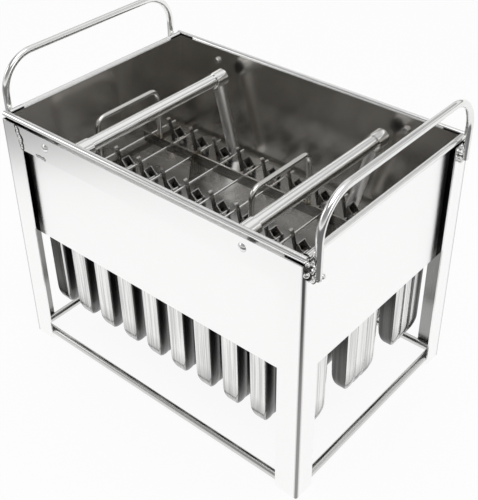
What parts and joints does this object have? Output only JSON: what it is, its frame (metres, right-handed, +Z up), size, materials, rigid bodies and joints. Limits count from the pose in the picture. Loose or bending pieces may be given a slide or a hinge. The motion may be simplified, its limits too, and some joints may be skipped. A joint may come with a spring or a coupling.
{
  "type": "ice pop mold",
  "caption": "Open steel tank on angle legs with rows of lobed freezing cups under it and a lift-out stick holder whose clips tilt when a wire handle is squeezed.",
  "frame": {"origin": "on the ground, below the middle of the tank", "axes": "+X along the tank's length, towards the right-hand outer handle; +Z up; the front wall faces -Y"},
  "size_m": [0.425, 0.2854, 0.366],
  "materials": {
    "tank_sheet": "fine brushed sheet, near white",
    "floor_sheet": "brushed sheet",
    "cup_sheet": "pressed sheet, fine vertical grain",
    "leg_sheet": "brushed sheet, near white",
    "rivet_steel": "satin",
    "rim_wire": "satin",
    "polished_rod": "polished stainless rod",
    "polished_tube": "polished stainless tube",
    "holder_sheet": "brushed sheet",
    "pin_steel": "satin",
    "bar_steel": "satin flat bar",
    "clip_sheet": "pressed sheet"
  },
  "bodies": {
    "mold": {"tank_front_wall": "tank_sheet", "tank_back_wall": "tank_sheet", "tank_left_wall": "tank_sheet", "tank_right_wall": "tank_sheet", "tank_floor": "floor_sheet", "cup_row_front": "cup_sheet", "cup_row_middle": "cup_sheet", "cup_row_back": "cup_sheet", "leg_front_left": "leg_sheet", "leg_front_right": "leg_sheet", "leg_back_left": "leg_sheet", "leg_back_right": "leg_sheet", "front_band": "leg_sheet", "back_band": "leg_sheet", "band_rivets": "rivet_steel", "rim_wire_front": "rim_wire", "rim_wire_back": "rim_wire", "rim_wire_left": "rim_wire", "rim_wire_right": "rim_wire", "foot_rod_front": "polished_rod", "foot_rod_back": "polished_rod", "foot_rod_left": "polished_rod", "foot_rod_right": "polished_rod", "bail_left": "polished_rod", "bail_right": "polished_rod"},
    "stick_holder": {"holder_plate": "holder_sheet", "clip_ears": "holder_sheet", "clip_pins": "pin_steel", "bar_guide_front_left": "holder_sheet", "bar_guide_front_right": "holder_sheet", "bar_guide_back_left": "holder_sheet", "bar_guide_back_right": "holder_sheet", "grip_leg_left_front": "polished_tube", "grip_leg_left_back": "polished_tube", "grip_leg_right_front": "polished_tube", "grip_leg_right_back": "polished_tube", "grip_collar_left_front": "polished_tube", "grip_collar_left_back": "polished_tube", "grip_collar_right_front": "polished_tube", "grip_collar_right_back": "polished_tube", "grip_left": "polished_tube", "grip_right": "polished_tube"},
    "clamp_grid": {"clamp_rods": "polished_rod", "clamp_bar_front": "bar_steel", "clamp_bar_back": "bar_steel", "squeeze_wire_left": "polished_rod", "squeeze_wire_right": "polished_rod"},
    "clips_1": {"stick_clips_1": "clip_sheet"},
    "clips_2": {"stick_clips_2": "clip_sheet"},
    "clips_3": {"stick_clips_3": "clip_sheet"},
    "clips_4": {"stick_clips_4": "clip_sheet"},
    "clips_5": {"stick_clips_5": "clip_sheet"},
    "clips_6": {"stick_clips_6": "clip_sheet"},
    "clips_7": {"stick_clips_7": "clip_sheet"},
    "clips_8": {"stick_clips_8": "clip_sheet"},
    "clips_9": {"stick_clips_9": "clip_sheet"},
    "clips_10": {"stick_clips_10": "clip_sheet"}
  },
  "joints": [
    {"name": "holder_lift", "type": "slide", "parent": "mold", "child": "stick_holder", "axis": [0, 0, 1], "range_m": [0, 0.2]},
    {"name": "clamp_slide", "type": "slide", "parent": "stick_holder", "child": "clamp_grid", "axis": [1, 0, 0], "range_m": [0, 0.004]},
    {"name": "clip_tilt_1", "type": "hinge", "parent": "stick_holder", "child": "clips_1", "pos_m": [-0.1649, 0, 0.188], "axis": [0, 1, 0], "range_deg": [0, 13.5]},
    {"name": "clip_tilt_2", "type": "hinge", "parent": "stick_holder", "child": "clips_2", "pos_m": [-0.12659, 0, 0.188], "axis": [0, 1, 0], "range_deg": [0, 13.5]},
    {"name": "clip_tilt_3", "type": "hinge", "parent": "stick_holder", "child": "clips_3", "pos_m": [-0.08828, 0, 0.188], "axis": [0, 1, 0], "range_deg": [0, 13.5]},
    {"name": "clip_tilt_4", "type": "hinge", "parent": "stick_holder", "child": "clips_4", "pos_m": [-0.04997, 0, 0.188], "axis": [0, 1, 0], "range_deg": [0, 13.5]},
    {"name": "clip_tilt_5", "type": "hinge", "parent": "stick_holder", "child": "clips_5", "pos_m": [-0.01166, 0, 0.188], "axis": [0, 1, 0], "range_deg": [0, 13.5]},
    {"name": "clip_tilt_6", "type": "hinge", "parent": "stick_holder", "child": "clips_6", "pos_m": [0.02666, 0, 0.188], "axis": [0, 1, 0], "range_deg": [0, 13.5]},
    {"name": "clip_tilt_7", "type": "hinge", "parent": "stick_holder", "child": "clips_7", "pos_m": [0.06497, 0, 0.188], "axis": [0, 1, 0], "range_deg": [0, 13.5]},
    {"name": "clip_tilt_8", "type": "hinge", "parent": "stick_holder", "child": "clips_8", "pos_m": [0.10328, 0, 0.188], "axis": [0, 1, 0], "range_deg": [0, 13.5]},
    {"name": "clip_tilt_9", "type": "hinge", "parent": "stick_holder", "child": "clips_9", "pos_m": [0.14159, 0, 0.188], "axis": [0, 1, 0], "range_deg": [0, 13.5]},
    {"name": "clip_tilt_10", "type": "hinge", "parent": "stick_holder", "child": "clips_10", "pos_m": [0.1799, 0, 0.188], "axis": [0, 1, 0], "range_deg": [0, 13.5]}
  ],
  "couplings": [
    {"joint": "clip_tilt_1", "follows": "clamp_slide", "rad_per_m": 57},
    {"joint": "clip_tilt_2", "follows": "clamp_slide", "rad_per_m": 57},
    {"joint": "clip_tilt_3", "follows": "clamp_slide", "rad_per_m": 57},
    {"joint": "clip_tilt_4", "follows": "clamp_slide", "rad_per_m": 57},
    {"joint": "clip_tilt_5", "follows": "clamp_slide", "rad_per_m": 57},
    {"joint": "clip_tilt_6", "follows": "clamp_slide", "rad_per_m": 57},
    {"joint": "clip_tilt_7", "follows": "clamp_slide", "rad_per_m": 57},
    {"joint": "clip_tilt_8", "follows": "clamp_slide", "rad_per_m": 57},
    {"joint": "clip_tilt_9", "follows": "clamp_slide", "rad_per_m": 57},
    {"joint": "clip_tilt_10", "follows": "clamp_slide", "rad_per_m": 57}
  ]
}
